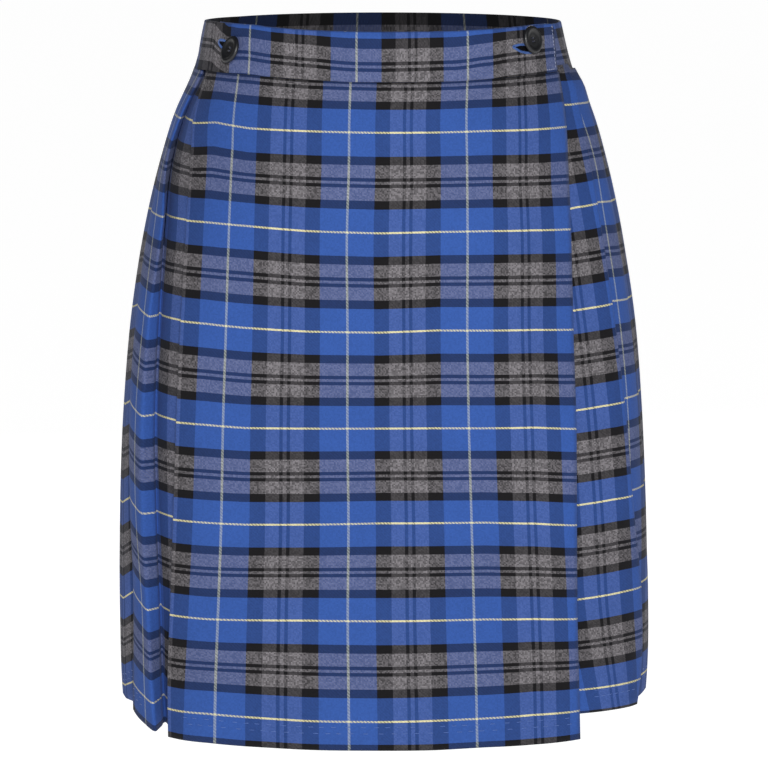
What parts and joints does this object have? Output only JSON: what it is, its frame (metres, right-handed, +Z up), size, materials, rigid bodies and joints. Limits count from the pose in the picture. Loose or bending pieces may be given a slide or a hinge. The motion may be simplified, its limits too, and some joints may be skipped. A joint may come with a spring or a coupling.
{
  "type": "wrap kilt skirt",
  "caption": "Knee-length wrap kilt in blue and grey check, hollow as worn: a flat front apron, knife pleats round sides and back, and a straight waistband buttoned at the hips.",
  "frame": {"origin": "on the garment's vertical axis at the top edge of the waistband, where the wearer's waist holds it", "axes": "+Z up, the front apron faces -Y and +X is to the right of someone who looks at the front"},
  "size_m": [0.3924, 0.2898, 0.506],
  "materials": {
    "check_twill": "woven wool-blend twill, matt with a slight nap",
    "waistband_twill": "the same twill, folded double over an interfacing",
    "button_plastic": "turned and polished"
  },
  "bodies": {
    "root": {"front_apron": "check_twill", "under_apron": "check_twill", "pleats_left": "check_twill", "pleats_right": "check_twill", "waistband": "waistband_twill", "button_left": "button_plastic", "button_right": "button_plastic"}
  },
  "joints": []
}
